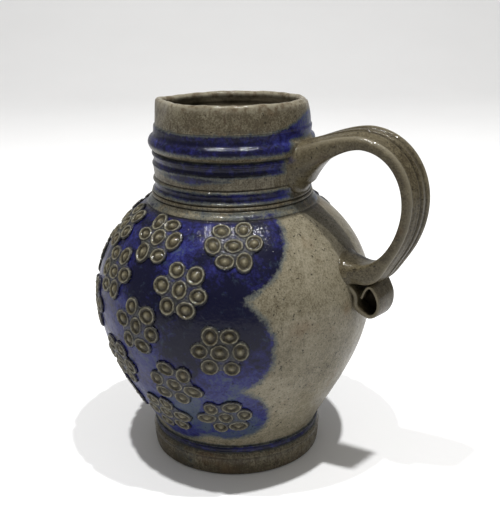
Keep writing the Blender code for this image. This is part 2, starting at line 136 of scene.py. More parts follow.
# The dark plug in the rolled tail, painted as shade: share of the way out to the roll, millimetres
# aside.
SHADE_PLUG_RINGS = ((0.1, 1.0), (0.8, 1.4), (0.98, 3.0), (0.98, 5.0), (0.8, 6.2), (0.1, 6.6))
PAD_EDGE = 0.005  # a rosette is cut off where its pad is thinner than this share
USUAL_RELIEF = 0.0016  # the relief that the rosette's heights are stated for

# Reach of the brush round the rosettes of each row, in millimetres.
BRUSH_REACH = (24.0, 28.5, 24.5, 31.0, 20.5)

# Smears of blue on the flange: azimuth, spread, in degrees.
FLANGE_SMEARS = ((-46.0, 15.0), (30.0, 14.0), (150.0, 24.0), (-140.0, 16.0))

# Depths that stand for clay with no cobalt on it, in millimetres.
BARE_BODY, BARE_HANDLE = -30.0, -20.0

# Pools and thin places of the cobalt: azimuth, height (mm), spread (mm), strength against the
# middle tone.
COBALT_POOLS = (
    (-63.0, 92.0, 13.0, 0.75), (-75.0, 89.0, 9.0, 0.55), (-52.0, 93.0, 7.0, 0.35),
    (-92.0, 92.0, 8.0, 0.25), (-104.0, 101.0, 7.0, 0.45), (-84.0, 77.0, 8.0, 0.30),
    (-70.0, 124.0, 9.0, -0.20), (-84.0, 115.0, 9.0, -0.32), (-44.0, 112.0, 10.0, 0.15),
    (-98.0, 70.0, 12.0, -0.15), (-55.0, 60.0, 14.0, -0.22), (-75.0, 46.0, 14.0, -0.38),
    (-60.0, 30.0, 10.0, -0.35), (-100.0, 48.0, 14.0, -0.30), (-115.0, 85.0, 12.0, -0.20),
    (-150.0, 95.0, 14.0, 0.60), (170.0, 60.0, 12.0, 0.40), (140.0, 105.0, 12.0, 0.60),
    (110.0, 80.0, 13.0, 0.70), (80.0, 95.0, 10.0, 0.35), (125.0, 45.0, 14.0, -0.30),
    (-140.0, 45.0, 14.0, -0.25), (90.0, 50.0, 13.0, -0.35),
)

# Tones that go with the glaze's own colours, with painted light among them: the inside tones are
# painted shade, the crest tone is a painted highlight, the rim tones are burnt brown with a pale
# painted highlight, and the button tone is the dots' own beige lightened as a painted highlight.
WARM_CLAY = (0.105, 0.062, 0.030)
BLOOM_BLUE = (0.030, 0.046, 0.066)
STREAK_BROWN = (0.045, 0.032, 0.020)
FRINGE_BLUE = (0.020, 0.042, 0.058)
# painted shade inside the jug, dark to mid
INSIDE_SHADE_TONES = (0.030, 0.024, 0.014), (0.105, 0.088, 0.058)
# burnt brown of the rim, and a pale painted highlight along its edge
RIM_BROWN_AND_HIGHLIGHT = (0.085, 0.062, 0.038), (0.215, 0.195, 0.143)
HANDLE_WASH = (0.62, 0.59, 0.52)
ROSETTE_WASH = (0.50, 0.49, 0.43)
WEB_MURK = (0.034, 0.036, 0.030)
# painted highlight on the rosettes' ring crests
CREST_HIGHLIGHT = (0.215, 0.205, 0.155)
# the rosette dots' own beige, lightened as a painted highlight
BUTTON_TONE_AND_HIGHLIGHT = (0.190, 0.172, 0.118)
ROOM_TONE = (1.0, 0.985, 0.96, 1.0)

VIEW_TURN = math.radians(30)  # of the paper and the camera about the jug
CAMERA_PLACE = (0.0, -0.4265, 0.24165)
CAMERA_PITCH, CAMERA_YAW, CAMERA_ROLL = math.radians(19.02), math.radians(1.085), 0.0129
LIGHT_DISTANCE, LIGHT_WIDTH = 1.6, 0.055


# --- Settings a user would change --------------------------------------------
def length(name, description, default):
    return FloatProperty(
        name=name, description=description, default=default, min=0.0, subtype="DISTANCE",
        unit="LENGTH", precision=5,
    )


def share(name, description, default, highest=1.0):
    return FloatProperty(name=name, description=description, default=default, min=0.0, max=highest)


def tint(name, description, default):
    return FloatVectorProperty(
        name=name, description=description, default=default, size=3, min=0.0, max=1.0,
        subtype="COLOR",
    )


class JUG_PG_body(bpy.types.PropertyGroup):
    """Sizes of the thrown body."""

    foot_radius: length("Foot radius", "Radius of the foot ring", 0.0430)
    foot_height: length("Foot height", "From the table to the waist above the foot", 0.0160)
    waist_inset: length("Waist inset", "How much slimmer the waist is than the foot", 0.0015)
    belly_radius: length("Belly radius", "Radius at the widest place", 0.0680)
    belly_level: length("Belly level", "Height of the widest place", 0.0830)
    shoulder_level: length(
        "Shoulder level", "Height of the lower edge of the neck's flange", 0.1292
    )
    neck_height: length("Neck height", "From the flange to the rim", 0.0506)
    neck_radius: length("Neck radius", "Radius of the plain neck", 0.0372)
    flange_proud: length("Flange", "How far the flange stands out of the neck", 0.0043)
    collar_taper: length("Collar taper", "How much the collar closes in up to the rim", 0.0010)
    wall: length("Wall", "Thickness of the belly's wall", 0.0055)
    rim_thickness: length("Rim thickness", "Thickness of the rounded rim", 0.0034)
    lip_out: length("Lip", "Throw of the pouring lip beyond the rim", 0.0014)
    rim_lean: length(
        "Rim lean", "How much lower the rim is at its lowest place than at its highest", 0.0032
    )
    pinch_in: length("Pinch", "Depth of the finger marks beside the lip", 0.0027)
    fullness: FloatProperty(
        name="Fullness", description="1 is a plain cosine from waist to belly, more is slimmer",
        default=1.1, min=0.5, max=2.0,
    )


class JUG_PG_handle(bpy.types.PropertyGroup):
    """Sizes of the strap handle and its rolled tail."""

    strap_width: length("Strap width", "Width of the strap at the loop", 0.0180)
    strap_thickness: length("Strap thickness", "Thickness of the strap at the loop", 0.0038)
    strap_crown: length("Crown", "Rise of the outer face in its middle", 0.0003)
    twist: length("Twist", "How far the strap's far edge stands out beyond its middle", 0.0020)
    reed_depth: length("Reed depth", "Depth of the grooves along the outer face", 0.0013)
    loop_reach: length(
        "Loop reach", "From the belly's widest radius to the loop's outermost centre line", 0.0246
    )
    loop_drop: length("Loop drop", "From the rim down to the loop's top centre line", 0.0155)
    tail_width: length("Tail width", "Width of the rolled tail", 0.0170)
    tail_thickness: length("Tail thickness", "Thickness of the tail where it starts", 0.0026)
    tail_tip_thickness: length("Tip thickness", "Thickness of the tail's tucked-in tip", 0.0015)


class JUG_PG_rosette(bpy.types.PropertyGroup):
    """Sizes of the pressed rosettes."""

    boss_pitch: length("Boss pitch", "From the middle boss to the others", 0.0090)
    ring_radius: length("Ring radius", "Radius of each boss's raised ring", 0.0035)
    dot_radius: length("Dot radius", "Radius of each boss's middle dot", 0.0013)
    relief: length("Relief", "Height of the rings above the belly", 0.0016)
    grain: length("Mesh step", "Distance between the mesh's points", 0.00034)


class JUG_PG_glaze(bpy.types.PropertyGroup):
    """Colours and gloss of the clay and the cobalt under the salt glaze."""

    clay_light: tint("Light clay", "Palest tone of the glazed grey clay", (0.188, 0.168, 0.122))
    clay_middle: tint("Grey clay", "Middle tone of the glazed grey clay", (0.122, 0.107, 0.072))
    clay_dark: tint("Dark clay", "Brown-grey tone of the glazed clay", (0.054, 0.044, 0.027))
    # burnt specks, and also the colour of the painted shade in the lines, moats, grooves and the
    # roll
    iron_and_shade: tint(
        "Iron specks", "Colour of the burnt specks and the dirt in the lines",
        (0.012, 0.010, 0.007)
    )
    cobalt_thin: tint("Thin cobalt", "Washed-out edge of the blue", (0.034, 0.046, 0.072))
    cobalt_full: tint("Cobalt", "The blue where it is evenly brushed", (0.0075, 0.0075, 0.050))
    cobalt_bright: tint(
        "Bright cobalt", "The blue where it is thin but clean", (0.0130, 0.0150, 0.095)
    )
    cobalt_deep: tint("Pooled cobalt", "The blue where it ran together", (0.0016, 0.0018, 0.0125))
    gloss: share("Roughness", "Roughness of the salt glaze", 0.50)
    peel: share("Orange peel", "Strength of the salt glaze's dimpling", 0.55)


class JUG_PG_stage(bpy.types.PropertyGroup):
    """The pale table, the lights and the camera."""

    table_tone: share("Table tone", "How pale the table is", 0.80)
    front_light: share("Front light", "Power of the front light in watts", 19.0, 200.0)
    side_light: share("Side light", "Power of the side light in watts", 22.0, 200.0)
    sky: share("Room light", "Strength of the soft light of the room", 0.36, 10.0)
    lens: FloatProperty(
        name="Lens", description="Focal length of the camera", default=61.28, min=10.0, max=200.0
    )
    sweep_steps: IntProperty(
        name="Sweep steps", description="Steps up the paper's bend", default=24, min=6, max=96
    )


# --- Small sums --------------------------------------------------------------
def lerp(a, b, t):
    return a + (b - a) * t


def smoothstep(t):
    t = np.clip(t, 0.0, 1.0)
    return t * t * (3 - 2 * t)


def bell(x, spread):
    """A bell of height 1 and the given spread."""
    return np.exp(-((x / spread) ** 2))


def wrapped(degrees):
    """The same angle between -180 and 180 degrees."""
    return (degrees + 180.0) % 360.0 - 180.0


def smooth_curve(points, steps):
    """A Catmull-Rom curve through the points, with this many steps between each two."""
    ends = np.array([points[0], *points, points[-1]], float)
    t = (np.arange(steps) / steps)[:, None]
    weights = (
        (-t + 2 * t ** 2 - t ** 3) / 2,
        (2 - 5 * t ** 2 + 3 * t ** 3) / 2,
        (t + 4 * t ** 2 - 3 * t ** 3) / 2,
        (-t ** 2 + t ** 3) / 2,
    )
    curve = [sum(w * p for w, p in zip(weights, ends[k : k + 4])) for k in range(len(points) - 1)]
    return np.vstack([*curve, ends[-1:]])


def evenly(points, step):
    """The points' polyline cut again at about this step along its length."""
    points = np.array(points, float)
    run = np.concatenate([[0.0], np.cumsum(np.hypot(*np.diff(points, axis=0).T))])
    wanted = np.linspace(0.0, run[-1], max(int(round(run[-1] / step)), 2) + 1)
    return np.column_stack([np.interp(wanted, run, points[:, k]) for k in (0, 1)])


# --- Outline of the body -----------------------------------------------------
def belly_radius(z, body):
    """Outer radius between the waist and the flange: a fuller dome above, a slimmer bowl below."""
    z = np.asarray(z, float)
    waist = body.foot_radius - body.waist_inset
    flange = body.neck_radius + body.flange_proud
    t = (body.belly_level - np.clip(z, body.foot_height, None)) / (
        body.belly_level - body.foot_height
    )
    bowl = lerp(
        waist, body.belly_radius, np.clip(np.cos(t * math.pi / 2), 0.0, 1.0) ** body.fullness
    )
    dome = (body.shoulder_level - body.belly_level) / math.sqrt(
        1 - (flange / body.belly_radius) ** 2
    )
    up = np.clip((z - body.belly_level) / dome, 0.0, 0.99)
    return np.where(z < body.belly_level, bowl, body.belly_radius * np.sqrt(1 - up ** 2))


def belly_run(body, count=700):
    """Heights up the belly and the length along its surface to each of them."""
    z = np.linspace(body.foot_height, body.shoulder_level, count)
    r = belly_radius(z, body)
    return z, np.concatenate([[0.0], np.cumsum(np.hypot(np.diff(z), np.diff(r)))])


def row_levels(body):
    z, run = belly_run(body)
    wanted = np.linspace(run[-1] - TOP_MARGIN, run[-1] * BOTTOM_SHARE, len(ROSETTE_ROWS))
    return np.interp(wanted, run, z)


def rosette_places(body):
    """(row, place, azimuth, level, across, up, turn) of every rosette."""
    places = []
    for row, ((start, step, count), level) in enumerate(zip(ROSETTE_ROWS, row_levels(body))):
        for place in range(count):
            wander = math.sin(2.4 * place + 1.7 * row)
            usual = (-NUDGE_RANGE * wander, NUDGE_RANGE * wander, TURN_RANGE * wander)
            across, up, turn = ROSETTE_NUDGES.get((row, place), usual)
            azimuth = math.radians(start + step * place)
            places.append((row, place, azimuth, level, across, up, math.radians(turn)))
    return places


def rim_level(body):
    return body.shoulder_level + body.neck_height


def rim_radius(body):
    """Outer radius of the rim before the lip is pressed into it."""
    return body.neck_radius + NECK_LINES[-1][1] * MM - body.collar_taper


def outer_profile(body):
    """(radius, height) from the rim's outer edge down to the edge of the base, finely cut."""
    collar_foot, collar_step = (v * MM for v in NECK_LINES[-1])
    foot_of_collar = (body.neck_radius + collar_step, body.shoulder_level + collar_foot)
    rim_edge = rim_level(body) - body.rim_thickness / 2
    t = np.linspace(1.0, 0.08, 12)
    collar = np.column_stack(
        [lerp(foot_of_collar[0], rim_radius(body), t ** 1.6), lerp(foot_of_collar[1], rim_edge, t)]
    )
    neck = [
        (body.neck_radius + r * MM, body.shoulder_level + h * MM) for h, r in reversed(NECK_LINES)
    ]
    neck = evenly(smooth_curve([*map(tuple, collar), *neck], 10), NECK_STEP)
    z, run = belly_run(body)
    levels = np.interp(np.linspace(run[-1], 0.0, int(run[-1] / BELLY_STEP)), run, z)[1:-1]
    belly = np.column_stack([belly_radius(levels, body), levels])
    foot = [(body.foot_radius + r * MM, h * MM) for h, r in reversed(FOOT_LINES)]
    foot = evenly(smooth_curve(foot, 8), FOOT_STEP)
    profile = np.vstack([neck, belly, foot])
    for level, depth, half in NECK_SCRATCHES + FOOT_SCRATCHES:
        profile[:, 0] -= depth * MM * bell(profile[:, 1] - level * MM, half * MM)
    return profile


def inner_profile(body):
    """(radius, height) from the middle of the floor up to the inner side of the rim."""
    top = FLOOR + FLOOR_FILLET
    corner = float(belly_radius(top, body)) - body.wall
    points = [(0.0, FLOOR), (corner - FLOOR_FILLET, FLOOR)]
    for i in (1, 2):
        a = math.pi / 2 * i / 3
        across = corner - FLOOR_FILLET * (1 - math.sin(a))
        points.append((across, top - FLOOR_FILLET * math.cos(a)))
    inside = body.neck_radius - NECK_WALL
    throat = body.shoulder_level - (body.neck_radius + body.flange_proud - body.wall - inside)
    levels = np.linspace(top, throat, 24)
    points += [(float(belly_radius(z, body)) - body.wall, z) for z in levels]
    last = points[-1]
    points.append(
        (lerp(last[0], inside, 0.75), lerp(last[1], body.shoulder_level + body.wall / 2, 0.6))
    )
    rim_inner = rim_radius(body) - body.rim_thickness
    points += [(inside, body.shoulder_level + body.wall), (inside, rim_level(body) - PINCH_DEPTH)]
    points.append((lerp(inside, rim_inner, 0.4), rim_level(body) - PINCH_DEPTH / 2))
    points.append((rim_inner, rim_level(body) - body.rim_thickness / 2))
    points = evenly(smooth_curve(points, 4), INNER_STEP)
    z = points[:, 1]
    rings = np.sin(z / (0.62 * MM)) + 0.6 * np.sin(z / (0.41 * MM) + 1.3)
    points[:, 0] += 0.13 * MM * rings * smoothstep((z - body.shoulder_level) / 0.01)
    points[0, 0] = 0.0
    return points


def rim_profile(body, steps=12):
    """(radius, height) over the rounded rim, from the inner side to the outer side."""
    outer = rim_radius(body)
    half = body.rim_thickness / 2
    a = math.pi * (1 - np.arange(1, steps) / steps)
    level = rim_level(body)
    return np.column_stack([outer - half + half * np.cos(a), level - half + half * np.sin(a)])


def pour_lip(points, body):
    """Moves points near the rim: out at the lip, in where it was pinched, and down its lean."""
    x, y, z = points.T
    fade = smoothstep((z - (rim_level(body) - PINCH_DEPTH)) / PINCH_DEPTH)
    radius = np.maximum(np.hypot(x, y), 1e-6)
    fade = np.where(radius < body.neck_radius / 2, 0.0, fade)
    away = np.radians(np.abs(wrapped(np.degrees(np.arctan2(y, x)) - LIP_ANGLE)))
    spread, pinch, pinch_spread = map(math.radians, (LIP_SPREAD, PINCH_ANGLE, PINCH_SPREAD))
    out = body.lip_out * bell(away, spread) - body.pinch_in * bell(away - pinch, pinch_spread)
    grown = (radius + out * fade ** 1.5) / radius
    lean = body.rim_lean * (1 - np.cos(np.arctan2(y, x) - RIM_TOP_ANGLE)) / 2 * fade
    return np.column_stack([x * grown, y * grown, z - lean])


def hand_wobble(azimuth, z, body):
    """How far the thrown wall strays from round, in metres: slow swells and turning marks."""
    slow = 0.13 * np.sin(2 * azimuth + 0.7 + 14 * z) + 0.10 * np.sin(3 * azimuth - 22 * z + 2.1)
    slow += 0.07 * np.sin(5 * azimuth + 60 * z)
    spiral = z / (1.55 * MM) + azimuth
    marks = 0.030 * np.sin(spiral) * (0.6 + 0.4 * np.sin(azimuth * 2 + 90 * z))
    fade = smoothstep(z / 0.02) * smoothstep((rim_level(body) - 0.002 - z) / 0.01)
    return (slow + marks) * fade * MM


def neck_smear(azimuth, z, body):
    """From 0 to 1, how much the neck's rings were rubbed out where the handle was pressed on."""
    root = rim_level(body) - UPPER_ROOT_DROP
    return np.clip(bell(azimuth, math.radians(21)) * bell(z - root, 0.0125) * 1.5, 0.0, 1.0)


# --- Where the cobalt lies ---------------------------------------------------
def between(value, low, high):
    """How far a value is inside a band, below 0 outside it."""
    return np.minimum(value - low, high - value)


def ground_depth(azimuth, z, body):
    """How far inside the brushed ground a place on the belly is, in millimetres."""
    radius = belly_radius(z, body)
    levels, run = belly_run(body)
    height = np.interp(z, levels, run)
    depth = np.full(np.shape(azimuth), -60.0)
    for row, _, centre, level, across, up, _ in rosette_places(body):
        middle = centre + across / float(belly_radius(level, body))
        aside = np.abs((azimuth - middle + math.pi) % (2 * math.pi) - math.pi) * radius
        above = height - (np.interp(level, levels, run) + up)
        inside = BRUSH_REACH[row] - np.hypot(aside, above) / MM
        soft = 1.6
        depth = np.maximum(depth, inside) + soft * np.exp(-np.abs(depth - inside) / soft) / 2
    return np.minimum(depth, (body.shoulder_level + 0.0003 - z) / MM * 4)


def neck_depth(azimuth, z):
    """How far inside one of the neck's painted bands a place is, in millimetres."""
    degrees = np.degrees(azimuth)
    from_root = (np.abs(degrees) - 18.5 - 3.5 * np.sin(z * 260)) * 0.28
    height = z / MM
    climb = 8.0 * bell(degrees - 14.0, 26.0)
    top_band = between(height, 157.4, 166.5 + climb)
    top_band = np.minimum(top_band, np.maximum(from_root, (height - 162.5) * 1.2))
    middle = between(height, 148.0, 154.5)
    blotch = between(height, 144.3, 148.4) - 3.52 * smoothstep(
        np.abs(wrapped(degrees + 92.0)) / 46.0
    )
    bottom = between(height, 136.1, 140.8)
    bands = np.maximum(np.maximum(middle, bottom), blotch)
    return 1.8 * np.maximum(top_band, np.minimum(bands, from_root))


def flange_depth(azimuth, z):
    """Smears of blue on the pale flange."""
    degrees = np.degrees(azimuth)
    patches = sum(2.2 * bell(wrapped(degrees - at), spread) for at, spread in FLANGE_SMEARS)
    return np.minimum(between(z / MM, 129.2, 131.8) * 0.8, patches * 1.5 - 1.0)


def foot_depth(z):
    return between(z / MM, 12.0, 15.9) * 2.4


def cobalt_depth(azimuth, z, body):
    """Signed distance into the nearest painted place, in millimetres."""
    depth = np.where(
        z > body.shoulder_level, neck_depth(azimuth, z), ground_depth(azimuth, z, body)
    )
    depth = np.where(
        z > body.shoulder_level - 0.0005, np.maximum(depth, flange_depth(azimuth, z)), depth
    )
    return np.maximum(depth, foot_depth(z))


def cobalt_strength(azimuth, z, body):
    """How thickly the cobalt lies, 0.5 for the middle tone."""
    degrees = np.degrees(azimuth)
    strength = 0.52 + 0.10 * np.sin(degrees * 0.21 + z * 90)
    strength = strength + 0.12 * smoothstep((z - 0.090) / 0.035) + 0.05 * np.sin(
        degrees * 0.09 - z * 140
    )
    strength = strength - 0.22 * smoothstep((0.060 - z) / 0.045)
    radius = belly_radius(z, body) / MM
    for centre, level, spread, weight in COBALT_POOLS:
        aside = np.radians(wrapped(degrees - centre)) * radius
        strength = strength + weight * np.exp(-(aside ** 2 + (z / MM - level) ** 2) / spread ** 2)
    on_neck = 0.66 + 0.10 * np.sin(degrees * 0.05 + z * 500) - 0.55 * bell(degrees - 12.0, 30.0)
    strength = np.where(z > body.shoulder_level, on_neck, strength)
    return np.where(z < body.foot_height, 0.66, strength)


# --- Meshes ------------------------------------------------------------------
def new_piece(name, points, faces, attributes, material):
    """A smooth mesh piece with one float attribute for each named array."""
    mesh = bpy.data.meshes.new(name)
    mesh.from_pydata(np.asarray(points).tolist(), [], faces)
    for label, values in attributes.items():
        layer = mesh.attributes.new(label, "FLOAT", "POINT")
        layer.data.foreach_set("value", np.asarray(values, np.float32))
    mesh.validate()
    mesh.shade_smooth()
    mesh.materials.append(material)
    piece = bpy.data.objects.new(name, mesh)
    bpy.context.scene.collection.objects.link(piece)
    return piece


def turned_faces(rings, around):
    """Quads of a turned surface whose first and last points stand on the axis."""
    faces = []
    first = 1
    for i in range(around):
        n = (i + 1) % around
        faces.append((0, first + n, first + i))
    for ring in range(rings - 1):
        a = first + ring * around
        b = a + around
        for i in range(around):
            n = (i + 1) % around
            faces.append((a + i, a + n, b + n, b + i))
    last = first + rings * around
    a = last - around
    for i in range(around):
        n = (i + 1) % around
        faces.append((a + i, a + n, last))
    return faces


def body_points(body, around):
    outer = outer_profile(body)
    profile = np.vstack([inner_profile(body)[1:], rim_profile(body), outer])
    outside_from = len(profile) - len(outer)
    base = np.column_stack([np.linspace(outer[-1, 0], 0.0, 5)[1:-1], np.zeros(3)])
    profile = np.vstack([profile, base])
    azimuth = np.linspace(0.0, 2 * math.pi, around, endpoint=False)
    az, z = np.meshgrid(azimuth, profile[:, 1])
    r = np.repeat(profile[:, :1], around, axis=1)
    outside = np.zeros(z.shape)
    outside[outside_from : outside_from + len(outer)] = 1.0
    signed = wrapped(np.degrees(az))
    smear = neck_smear(np.radians(signed), z, body) * outside
    plain = body.neck_radius + 0.0014 * smear
    r = lerp(r, plain, smear * 0.85)
    r = r + 0.0014 * outside * bell(np.radians(signed) - 0.35, 0.55) * bell(z - 0.1690, 0.0110)
    r = r + hand_wobble(az, z, body) * np.where(r > body.neck_radius / 2, 1.0, 0.0)
    points = np.column_stack([(r * np.cos(az)).ravel(), (r * np.sin(az)).ravel(), z.ravel()])
    points = pour_lip(points, body)
    ragged = 0.10 * np.sin(az * 9 + 1) + 0.07 * np.sin(az * 17) + 0.05 * np.sin(az * 31 + 2)
    at_rim = smoothstep((z - rim_level(body) + 0.006) / 0.006)
    points[:, 2] += ((ragged - 0.32) * MM * at_rim).ravel()
    return points, np.radians(signed).ravel(), z.ravel(), outside.ravel(), len(profile)


def line_shade(z):
    """Painted shade in the scratched lines, from 0 to 1."""
    painted_shade = np.zeros(np.shape(z))
    for level, depth, half in NECK_SCRATCHES + FOOT_SCRATCHES:
        painted_shade = np.maximum(painted_shade, min(depth * 2.6, 1.0) * bell(z / MM - level, half * 1.5))
    return painted_shade


def throw_body(body, material):
    points, azimuth, z, outside, rings = body_points(body, AROUND)
    floor_middle, base_middle = (0.0, 0.0, inner_profile(body)[0, 1]), (0.0, 0.0, 0.0)
    points = np.vstack([floor_middle, points, base_middle])
    depth = np.where(outside > 0, cobalt_depth(azimuth, z, body), BARE_BODY)
    strength = cobalt_strength(azimuth, z, body)
    # painted shade in the scratched lines, rubbed away where the handle was smeared on
    painted_shade = line_shade(z) * outside * (1 - neck_smear(azimuth, z, body))
    # painted shade over the whole inside, fading out just below the rim
    inside = np.where((outside < 0.5) & (z > 0.0001), 1.0, 0.0)
    inside = inside * smoothstep((rim_level(body) - 0.0006 - z) / 0.003)
    # mask for the rim's burnt brown and its pale painted highlight
    rim = smoothstep((z - rim_level(body) + 0.0045) / 0.003)
    shade = smoothstep((z - body.shoulder_level) / 0.004)
    shade = np.maximum(shade, 1.1 * smoothstep((0.0210 - z) / 0.008))

    def padded_ends(values, ends=0.0):
        return np.concatenate([[ends], values, [ends]])

    attributes = {
        "cobalt": padded_ends(depth, BARE_BODY),
        "strength": padded_ends(strength),
        "painted_shade": padded_ends(painted_shade),
        "inside": padded_ends(inside, 1.0),
        "rim": padded_ends(rim),
        "shade": padded_ends(shade),
    }
    return new_piece("thrown_body", points, turned_faces(rings, AROUND), attributes, material)


# --- Rosettes ----------------------------------------------------------------
def on_belly(azimuth, level, across, up, height, body):
    """Points reached from a place on the belly by going across, up and then off its surface."""
    levels, run = belly_run(body)
    z = np.interp(np.interp(level, levels, run) + up, run, levels)
    radius = belly_radius(z, body)
    tilt = np.arctan((belly_radius(z + 1e-4, body) - belly_radius(z - 1e-4, body)) / 2e-4)
    angle = azimuth + across / radius
    out = radius + hand_wobble(angle, z, body) + height * np.cos(tilt)
    return np.column_stack([out * np.cos(angle), out * np.sin(angle), z - height * np.sin(tilt)])


def rosette_relief(x, y, rosette, seed):
    """Height of the pressed rosette over the belly, the thickness of its pad, and its masks."""
    pitch, ring, dot = rosette.boss_pitch / MM, rosette.ring_radius / MM, rosette.dot_radius / MM
    x, y = x / MM, y / MM
    nearest = np.full(x.shape, 99.0)
    for k in range(7):
        angle = math.radians(60 * k)
        reach = 0.0 if k == 6 else pitch
        bx = reach * math.cos(angle) + 0.40 * math.sin(seed * 1.3 + k * 2.1)
        by = reach * math.sin(angle) + 0.40 * math.cos(seed * 0.9 + k * 1.7)
        squash = 1.0 + 0.12 * math.sin(seed + k * 2.9)
        away = np.hypot((x - bx) * squash, (y - by) / squash)
        nearest = np.minimum(nearest, away * (1.0 + 0.05 * math.sin(seed * 2.2 + k * 3.3)))
    r = nearest + 0.10 * np.sin(2.3 * x + seed) * np.cos(1.9 * y + 2 * seed)
    centre = np.hypot(x, y)
    lobes = smoothstep((ring + 1.15 - r) / 0.34)
    web = smoothstep((pitch + 1.2 - centre) / 0.8)
    pad = np.maximum(lobes, web)
    lumps = np.sin(3.1 * x + 1.7 * y + seed) * np.sin(2.7 * y - 1.3 * x + 2 * seed)
    crest = bell(r - ring, 0.30)
    dish = smoothstep((ring - 0.10 - r) / 0.40)
    moat = bell(r - (ring - 1.12), 0.62)
    button = bell(r, dot * 0.85)
    outside = 1 - smoothstep((ring + 0.30 - r) / 0.3)
    height = 0.70 * pad + 0.13 * lumps * pad * outside + 0.66 * crest
    height = height + 0.10 * dish - 0.42 * moat + 0.72 * button
    height = height - 0.45 * (1 - smoothstep(pad * 2.5))
    # masks: painted shade in the moats and round the foot of the rings, a painted highlight on the
    # ring crests and the pad's edge, and the dots' own beige with a painted highlight
    masks = {
        "boss": smoothstep((ring + 0.45 - r) / 0.4),
        "web": pad,
        "painted_shade": np.clip(1.15 * moat + 0.95 * bell(r - ring - 0.62, 0.30), 0.0, 1.0),
        "crest": np.clip(bell(r - ring, 0.22) + 0.15 * bell(r - ring - 1.15, 0.25), 0.0, 1.0),
        "button": bell(r, dot * 0.6),
    }
    return height * MM * rosette.relief / USUAL_RELIEF, pad, masks


def press_rosette(place, body, rosette, material):
    row, column, azimuth, level, aside, drift, turn = place
    half = rosette.boss_pitch + rosette.ring_radius + 2.6 * MM
    count = int(2 * half / rosette.grain)
    line = np.linspace(-half, half, count)
    x, y = (a.ravel() for a in np.meshgrid(line, line))
    height, pad, masks = rosette_relief(x, y, rosette, row * 3.7 + column * 1.9)
    kept = pad > PAD_EDGE
    corners = np.arange(count * count).reshape(count, count)
    four = [corners[:-1, :-1], corners[:-1, 1:], corners[1:, 1:], corners[1:, :-1]]
    quads = np.stack(four, -1).reshape(-1, 4)
    quads = quads[kept[quads].all(1)]
    used = np.unique(quads)
    place_of = np.full(count * count, -1)
    place_of[used] = np.arange(len(used))
    quads = place_of[quads]
    x, y, height = x[used], y[used], height[used]
    across = x * math.cos(turn) - y * math.sin(turn) + aside
    up = x * math.sin(turn) + y * math.cos(turn) + drift
    points = on_belly(azimuth, level, across, up, height, body)
    middle = on_belly(azimuth, level, np.array([aside]), np.array([drift]), -2.2 * MM, body)
    edges = np.concatenate([quads[:, [k, (k + 1) % 4]] for k in range(4)])
    key = np.sort(edges, axis=1)
    _, first, uses = np.unique(
        key[:, 0] * len(used) + key[:, 1], return_index=True, return_counts=True
    )
    border = edges[first[uses == 1]]
    faces = [tuple(map(int, quad)) for quad in quads]
    faces += [(int(b), int(a), len(used)) for a, b in border]
    angle, z = np.arctan2(points[:, 1], points[:, 0]), points[:, 2]
    attributes = {label: np.append(values[used], 0.0) for label, values in masks.items()}
    attributes["strength"] = np.append(cobalt_strength(angle, z, body), 0.5)
    return new_piece(
        f"sprig_{row + 1}_{column + 1}", np.vstack([points, middle]), faces, attributes, material
    )


# --- Handle ------------------------------------------------------------------
def superellipse(angle, half_width, half_height, squareness):
    c, s = math.cos(angle), math.sin(angle)
    x = math.copysign(abs(c) ** squareness, c)
    z = math.copysign(abs(s) ** squareness, s)
    return half_width * x, half_height * z


def strap_path(body, handle):
    """(x, z) down the strap's centre line, from the neck's wall round the loop to the belly's."""
    centre = body.belly_radius
    top = rim_level(body) - handle.loop_drop
    middle = rim_level(body) - LOOP_MIDDLE_DROP
    upper_root = rim_level(body) - UPPER_ROOT_DROP
    lower_root = body.shoulder_level - LOWER_ROOT_DROP
    start = body.neck_radius - ROOT_OVERSHOOT
    points = []
    for i in range(9):
        x = lerp(start, centre, i / 9)
        away = (centre - x) / (centre - body.neck_radius)
        points.append((x, top - (top - upper_root) * away ** 1.6))
    for i in range(25):
        angle = math.pi / 2 - math.pi * i / 24
        if angle > 0:
            x, z = superellipse(angle, handle.loop_reach, top - middle, 0.97)
        else:
            x, z = superellipse(angle, handle.loop_reach, middle - lower_root, 1.07)
        points.append((centre + x, middle + z))
    end = float(belly_radius(lower_root, body)) - ROOT_OVERSHOOT
    points += [(lerp(centre, end, i / 3), lower_root) for i in (1, 2, 3)]
    return evenly(smooth_curve(points, 6), 0.7 * MM)


def roll_path(body, handle):
    """(x, z) along the rolled tail's centre line: down the belly and round the roll to the tip."""
    lower_root = body.shoulder_level - LOWER_ROOT_DROP
    middle_z = lower_root - 0.0124
    middle_x = float(belly_radius(middle_z, body)) + 0.0082
    half_width, half_height = 0.0050, 0.0084
    skin = handle.tail_thickness * 0.4
    start_z = lower_root - 0.0032
    turn_z = middle_z - half_height * 0.4
    points = [
        (float(belly_radius(start_z, body)) - 0.0030, start_z),
        (float(belly_radius(middle_z, body)) + skin * 0.6, lerp(start_z, turn_z, 0.5)),
        (float(belly_radius(turn_z, body)) + skin, turn_z),
    ]
    for i in range(10):
        angle = math.radians(240 + 288 * i / 9)
        slim = 1 - 0.35 * max(math.sin(angle), 0.0)
        x = middle_x + half_width * slim * math.cos(angle)
        points.append((x, middle_z + half_height * math.sin(angle)))
    return evenly(smooth_curve(points, 6), 0.5 * MM)


